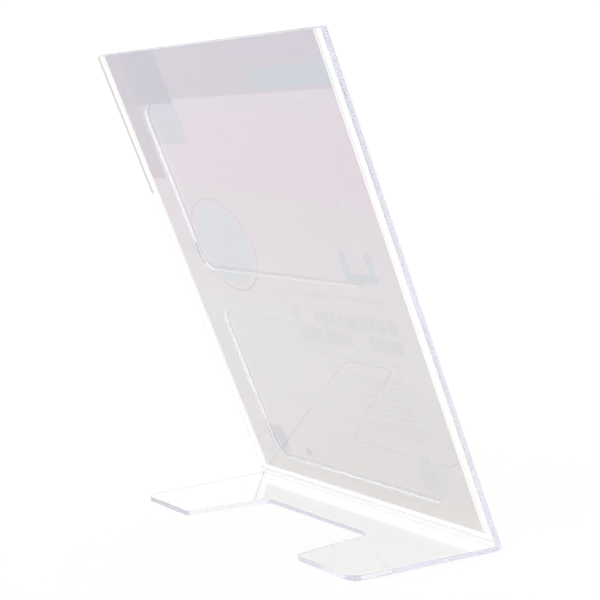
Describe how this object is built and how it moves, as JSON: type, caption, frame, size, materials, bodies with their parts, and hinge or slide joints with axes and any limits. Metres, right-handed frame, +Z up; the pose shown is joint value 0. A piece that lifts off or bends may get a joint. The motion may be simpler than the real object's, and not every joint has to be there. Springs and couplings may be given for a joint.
{
  "type": "sign stand",
  "caption": "Clear tabletop sign stand: a leaning slot-in frame with recessed rear panels, holding a portrait printed sheet on an L-shaped, two-toed foot.",
  "frame": {"origin": "on the floor plane, midway across the width and midway along the overall depth", "axes": "+Z up; -Y is the side the sign is read from; the panel leans back towards +Y over its foot; +X is to the right of a reader facing the front"},
  "size_m": [0.226, 0.1264, 0.2829],
  "materials": {
    "clear_plastic": "clear polystyrene, polished, slightly blue at its edges",
    "printed_sheet": "coated card, printed on the front"
  },
  "bodies": {
    "stand": {"front_shell": "clear_plastic", "back_plate": "clear_plastic"},
    "sheet": {"insert_sheet": "printed_sheet"}
  },
  "joints": [
    {"name": "sheet_lift", "type": "slide", "parent": "stand", "child": "sheet", "axis": [0, 0.4019, 0.9157], "range_m": [0, 0.305]}
  ]
}
